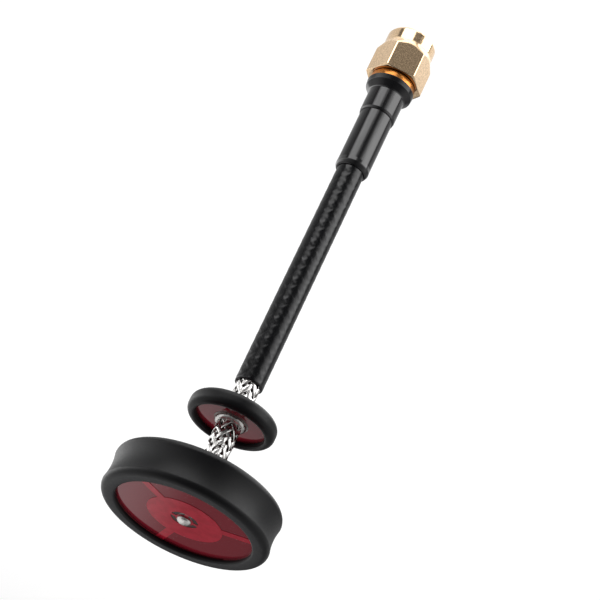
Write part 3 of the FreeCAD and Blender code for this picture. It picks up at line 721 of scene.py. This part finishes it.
class ANTENNA_OT_rings(bpy.types.Operator):
    """Rubber rings round the small disc and round the head"""
    bl_idname = "antenna.rings"
    bl_label = "Rubber rings"

    def execute(self, context):
        head = context.scene.antenna_head
        rounding, rim, sag = head.lip_rounding / MM, head.rim_rounding / MM, head.waist_depth / MM
        low, high = span("head_ring")
        outer, opening, seat, web = high.x, 9.95, 11.3, 10.5
        half = (high.z - low.z) / 2 - rounding
        waist = (half ** 2 + sag ** 2) / (2 * sag)
        sweep = math.degrees(math.asin(half / waist))
        middle = (high.z + low.z) / 2
        side = arc((outer - sag + waist, middle), waist, 180 + sweep, 180 - sweep, 30)[1:-1]
        board_top, board_low = span("open_board_copper")[1].z, span("open_board")[0].z
        inner_low, inner_top = (corner.z for corner in span("middle_board"))
        outline = lips(opening, outer, low.z, high.z, rim, rounding, side)
        outline += [(opening, board_top + 0.02), (opening + 0.01, board_top), (seat, board_top),
                    (seat, board_low), (web, board_low), (web, inner_top), (seat, inner_top),
                    (seat, inner_low), (opening + 0.01, inner_low), (opening, inner_low - 0.02)]
        put("head_ring_skin", turned("head_ring_skin", outline, 180), "antenna", black_rubber(),
            "black_rubber", "head_ring")
        low, high = span("small_ring")
        board_low, board_top = (corner.z for corner in span("small_board"))
        outer, opening, seat, rounding = high.x, 5.2, 5.9, 0.95
        outline = lips(opening, outer, low.z, high.z, rim, rounding)
        outline += [(opening, board_top + 0.02), (opening + 0.01, board_top), (seat, board_top),
                    (seat, board_low), (opening + 0.01, board_low), (opening, board_low - 0.02)]
        put("small_ring_skin", turned("small_ring_skin", outline, 144), "antenna", black_rubber(),
            "black_rubber", "small_ring")
        return {"FINISHED"}


class ANTENNA_OT_boards(bpy.types.Operator):
    """Red boards with their copper and the tinned pad"""
    bl_idname = "antenna.boards"
    bl_label = "Boards"

    def execute(self, context):
        for node in ("open_board", "middle_board", "small_board"):
            dress(node, red_board())
        for node in ("open_board_copper", "middle_board_copper"):
            dress(node, masked_copper())
        dress("small_board_pad", tinned_pad())
        return {"FINISHED"}


class ANTENNA_OT_solder(bpy.types.Operator):
    """Solder joints of the braid and of the inner wire"""
    bl_idname = "antenna.solder"
    bl_label = "Solder"

    def execute(self, context):
        for node, number in (("small_board_solder", 1), ("middle_board_solder", 2)):
            low, high = span(node)
            reach, rise = high.x - BRAID_RADIUS, high.z - low.z

            def lumps(angle, r, z, reach=reach, number=number):
                """Up to 0.12 mm off the foot, and nothing at the braid."""
                share = (r - BRAID_RADIUS) / reach
                swell = 1 + math.sin(2 * angle + number) * math.cos(3 * angle + 2 * number)
                return -0.12 * share * swell / 2

            outline = [(BRAID_RADIUS, low.z), (high.x, low.z)]
            for t in range(1, 10):
                slope = t / 10 * TURN / 4
                outline.append((BRAID_RADIUS + reach * math.cos(slope), low.z + rise * math.sin(slope)))
            outline.append((BRAID_RADIUS + 0.01, high.z))
            mesh = turned(node + "_joint", outline, 72, lumps)
            put(node + "_joint", mesh, "antenna", solder(), "solder", node)
        low, high = span("centre_solder")
        foot, rise = high.x, high.z - low.z

        def blob(angle, r, z):
            """Up to a twentieth of the radius off the round shape."""
            return -0.05 * r * (1 + math.sin(2 * angle + 0.6) + 0.5 * math.sin(3 * angle + z * 2)) / 2.5

        outline = [(0.0, low.z), (foot * 0.96, low.z)]
        for t in range(1, 12):
            slope = t / 12 * TURN / 4
            outline.append((foot * math.cos(slope) ** 0.8, low.z + rise * math.sin(slope) ** 0.9))
        outline.append((0.0, high.z))
        mesh = turned("centre_joint", outline, 64, blob)
        put("centre_joint", mesh, "antenna", solder(), "solder", "centre_solder")
        return {"FINISHED"}


# Stage


# What gloss sees in each direction. A direction's height runs from -1, straight down, to 1, straight up, and
# its angle is 0 in front (-Y), or at the back (+Y) where the row says so, and positive towards +X. Each row
# takes over from the one before it between the two heights: (from, to, side, ((degrees, brightness), ...)).
STUDIO = (
    # Downwards: white, with narrow dark gaps that the nut's shoulder shows.
    (0.0, 0.0, "front", (
        (-180, 2.6), (-173, 2.6), (-169, 0.5), (-165, 0.5), (-161, 2.6), (-28, 2.6), (-22, 1.4), (-16, 0.5),
        (-10, 1.4), (-4, 2.6), (62, 2.6), (76, 1.4), (120, 1.2), (170, 1.0), (179, 2.6), (180, 2.6))),
    # Plug: two white boxes, and a dark gap between them for the nut's front.
    (-0.8, -0.64, "front", (
        (-180, 1.1), (-104, 1.1), (-98, 0.3), (-93, 0.4), (-90, 4.0), (-42, 4.0), (-36, 0.5), (-21, 0.15),
        (-8, 0.28), (2.5, 0.28), (6, 3.5), (60, 3.5), (64, 0.25), (77, 0.2), (86, 0.8), (180, 0.9))),
    # Sleeves: the same two boxes, softer at their edges.
    (-0.582, -0.572, "front", (
        (-180, 0.6), (-108, 0.5), (-97, 0.2), (-92, 0.4), (-86, 2.8), (-74, 3.8), (-50, 5.0), (-30, 4.6),
        (-22, 2.2), (-12, 0.4), (5, 0.15), (12, 0.4), (20, 4.0), (52, 4.9), (60, 3.0), (67, 0.4), (90, 0.35),
        (110, 0.6), (180, 0.6))),
    # Near end of the jacket: the boxes grow narrower.
    (-0.552, -0.537, "front", (
        (-180, 0.6), (-108, 0.5), (-97, 0.2), (-92, 0.4), (-86, 2.8), (-72, 4.7), (-55, 4.4), (-40, 1.6),
        (-28, 0.35), (5, 0.15), (14, 0.5), (24, 2.6), (34, 3.6), (44, 2.6), (54, 0.6), (64, 0.3), (90, 0.35),
        (110, 0.6), (180, 0.6))),
    # Far end of the jacket: one box is left.
    (-0.53, -0.46, "front", (
        (-180, 0.5), (-108, 0.5), (-97, 0.2), (-92, 0.4), (-86, 2.0), (-72, 3.8), (-52, 3.0), (-34, 1.5),
        (-22, 0.3), (5, 0.12), (40, 0.2), (64, 0.3), (90, 0.5), (180, 0.5))),
    # Rubber of the head: dim in front, light from both sides.
    (-0.44, -0.405, "front", (
        (-180, 0.4), (-100, 0.5), (-75, 1.7), (-45, 1.5), (-15, 0.2), (15, 0.15), (50, 0.9), (90, 2.4),
        (140, 2.4), (180, 0.4))),
    # Above the horizon: a grey wall on one half of the back, for the boards.
    (-0.02, 0.12, "back", (
        (-180, 0.12), (-90, 0.8), (-40, 0.12), (-1, 0.12), (0.6, 0.75), (60, 0.75), (90, 0.9), (180, 0.12))),
    # A little higher: the wall goes on all over the back, and is brighter on that half.
    (0.403, 0.418, "back", (
        (-180, 0.1), (-130, 0.2), (-90, 0.7), (-40, 0.45), (-2, 0.45), (2, 0.95), (60, 0.95), (90, 0.8),
        (130, 0.2), (180, 0.1))))


def studio_world(ambient):
    """White all round for the camera and an even light for matt surfaces, while gloss sees the studio."""
    brightest = max(level for row in STUDIO for _, level in row[3])
    world = bpy.data.worlds.new("studio")
    world.use_nodes = True
    tree = world.node_tree
    tree.nodes.clear()
    direction = add(tree, "ShaderNodeTexCoord").outputs["Generated"]
    axes = add(tree, "ShaderNodeSeparateXYZ", {0: direction}).outputs
    forward = add(tree, "ShaderNodeMath", {0: axes["Y"], 1: -1.0}, operation="MULTIPLY").outputs[0]
    angles = {"front": add(tree, "ShaderNodeMath", {0: axes["X"], 1: forward}, operation="ARCTAN2"),
              "back": add(tree, "ShaderNodeMath", {0: axes["X"], 1: axes["Y"]}, operation="ARCTAN2")}
    studio = None
    for start, end, side, stops in STUDIO:
        share = add(tree, "ShaderNodeMath", {0: angles[side].outputs[0], 1: 1 / TURN, 2: 0.5},
                    operation="MULTIPLY_ADD")
        ramp = add(tree, "ShaderNodeValToRGB", {"Fac": share.outputs[0]})
        elements = ramp.color_ramp.elements
        while len(elements) < len(stops):
            elements.new(0.5)
        for element, (degrees, level) in zip(elements, stops):
            element.position = degrees / 360 + 0.5
            element.color = (*(level / brightest,) * 3, 1.0)
        if studio is None:
            studio = ramp.outputs[0]
            continue
        height = add(tree, "ShaderNodeMapRange", {"Value": axes["Z"], "From Min": start, "From Max": end})
        mixed = add(tree, "ShaderNodeMixRGB", {0: height.outputs[0], 1: studio, 2: ramp.outputs[0]})
        studio = mixed.outputs[0]
    gloss = add(tree, "ShaderNodeBackground", {"Color": studio, "Strength": brightest})
    plain = add(tree, "ShaderNodeBackground", {"Color": WHITE, "Strength": ambient})
    white = add(tree, "ShaderNodeBackground", {"Color": WHITE, "Strength": 1.0})
    ray = add(tree, "ShaderNodeLightPath").outputs
    sharp = add(tree, "ShaderNodeMath", {0: ray["Is Glossy Ray"], 1: ray["Is Transmission Ray"]},
                operation="MAXIMUM")
    lit = add(tree, "ShaderNodeMixShader", {0: sharp.outputs[0], 1: plain.outputs[0], 2: gloss.outputs[0]})
    seen = add(tree, "ShaderNodeMixShader", {0: ray["Is Camera Ray"], 1: lit.outputs[0], 2: white.outputs[0]})
    add(tree, "ShaderNodeOutputWorld", {"Surface": seen.outputs[0]})
    return world


def pale_floor():
    """Pale seamless paper: white to the camera, with the object's soft shadow."""
    finish = bpy.data.materials.new("pale_floor")
    finish.use_nodes = True
    tree = finish.node_tree
    tree.nodes.clear()
    paper = add(tree, "ShaderNodeBsdfDiffuse", {"Color": linear("#F4F4F4")})
    glow = add(tree, "ShaderNodeEmission", {"Color": WHITE, "Strength": 1.1})
    ray = add(tree, "ShaderNodeLightPath").outputs
    glow_share = 0.75
    share = add(tree, "ShaderNodeMath", {0: ray["Is Camera Ray"], 1: glow_share}, operation="MULTIPLY")
    both = add(tree, "ShaderNodeMixShader", {0: share.outputs[0], 1: paper.outputs[0], 2: glow.outputs[0]})
    add(tree, "ShaderNodeOutputMaterial", {"Surface": both.outputs[0]})
    return finish


class ANTENNA_OT_stage(bpy.types.Operator):
    """Pale floor, soft studio light and the camera"""
    bl_idname = "antenna.stage"
    bl_label = "Stage"

    # Where the photograph shows the middle of the open face, in pixels from the top left, and how far away
    # it is. The stem leans from the upright in the picture, and makes an angle with the line of sight.
    face_pixel = (182.3, 524.1)
    face_depth = 266.3 * MM
    lean = 25.4
    axis_to_view = 60.9
    camera_azimuth = -88.5
    focal_length = 120.0
    sensor_width = 36.0
    picture_width = 600

    def camera_matrix(self):
        """Place of the camera that puts the open face and the stem where the photograph has them."""
        lean, tilt = math.radians(self.lean), math.radians(self.axis_to_view)
        axis = Vector((-math.sin(lean) * math.sin(tilt), math.cos(lean) * math.sin(tilt), -math.cos(tilt)))
        pixels = self.focal_length / self.sensor_width * self.picture_width
        across, below = ((pixel - self.picture_width / 2) / pixels for pixel in self.face_pixel)
        face = Vector((across, below, 1.0)) * self.face_depth
        towards = (-face + axis * face.dot(axis)).normalized()
        azimuth = math.radians(self.camera_azimuth)
        world_axes = Matrix(((math.cos(azimuth), math.sin(azimuth), 0.0),
                             (-math.sin(azimuth), math.cos(azimuth), 0.0), (0.0, 0.0, 1.0)))
        seen_axes = Matrix((towards, axis.cross(towards), axis)).transposed()
        to_view = seen_axes @ world_axes
        to_world = to_view.transposed()
        top = Vector((0.0, 0.0, span("head_ring")[1].z * MM))
        place = top - to_world @ face
        right, down, ahead = (to_world.col[i] for i in range(3))
        return Matrix.Translation(place) @ Matrix((right, -down, -ahead)).transposed().to_4x4()

    def execute(self, context):
        stage = context.scene.antenna_stage
        scene = context.scene
        scene.world = studio_world(stage.ambient)
        scene.view_settings.view_transform = "Standard"
        half = 4.0
        floor = bpy.data.meshes.new("floor")
        corners = [(-half, -half), (half, -half), (half, half), (-half, half)]
        floor.from_pydata([(x, y, -stage.floor_drop) for x, y in corners], [], [(0, 1, 2, 3)])
        floor.materials.append(pale_floor())
        ground = bpy.data.objects.new("floor", floor)
        scene.collection.objects.link(ground)
        ground.visible_glossy = False
        target = Vector((0.0, 0.0, 0.06))
        for name, place, size, share in (("lamp_left", (0.28, -0.16, 0.24), 0.22, 0.4),
                                         ("lamp_right", (-0.30, 0.02, 0.20), 0.26, 0.5),
                                         ("lamp_back", (0.02, 0.30, 0.30), 0.22, 4.2)):
            lamp = bpy.data.lights.new(name, "AREA")
            lamp.shape = "SQUARE"
            lamp.size = size
            lamp.energy = stage.lamp_power * share
            holder = bpy.data.objects.new(name, lamp)
            turn = (target - Vector(place)).to_track_quat("-Z", "Y")
            holder.matrix_world = Matrix.Translation(place) @ turn.to_matrix().to_4x4()
            holder.visible_camera = False
            holder.visible_glossy = False
            scene.collection.objects.link(holder)
        lens = bpy.data.cameras.new("camera")
        lens.sensor_width = self.sensor_width
        lens.lens = self.focal_length
        lens.clip_start = 0.01
        camera = bpy.data.objects.new("camera", lens)
        camera.matrix_world = self.camera_matrix()
        scene.collection.objects.link(camera)
        scene.camera = camera
        return {"FINISHED"}


# Panel and registration


OPERATORS = (
    ANTENNA_OT_coupling_nut, ANTENNA_OT_plug_core, ANTENNA_OT_braid, ANTENNA_OT_cable, ANTENNA_OT_sleeves,
    ANTENNA_OT_rings, ANTENNA_OT_boards, ANTENNA_OT_solder, ANTENNA_OT_stage)
GROUPS = {"antenna_plug": PlugSizes, "antenna_cable": CableSizes, "antenna_head": HeadSizes,
          "antenna_stage": StageSizes}


class ANTENNA_PT_parts(bpy.types.Panel):
    """Lists the pieces of the antenna"""
    bl_label = "Stacked-disc antenna"
    bl_space_type = "VIEW_3D"
    bl_region_type = "UI"
    bl_category = "Antenna"

    def draw(self, context):
        for operator in OPERATORS:
            self.layout.operator(operator.bl_idname)
        for name, group in GROUPS.items():
            box = self.layout.box()
            for field in group.__annotations__:
                box.prop(getattr(context.scene, name), field)


def register():
    for cls in (*GROUPS.values(), *OPERATORS, ANTENNA_PT_parts):
        bpy.utils.register_class(cls)
    for name, group in GROUPS.items():
        setattr(bpy.types.Scene, name, bpy.props.PointerProperty(type=group))


def unregister():
    for name in GROUPS:
        delattr(bpy.types.Scene, name)
    for cls in reversed((*GROUPS.values(), *OPERATORS, ANTENNA_PT_parts)):
        bpy.utils.unregister_class(cls)


def main():
    register()
    for operator in OPERATORS:
        getattr(bpy.ops.antenna, operator.bl_idname.split(".")[1])()


if __name__ == "__main__":
    main()
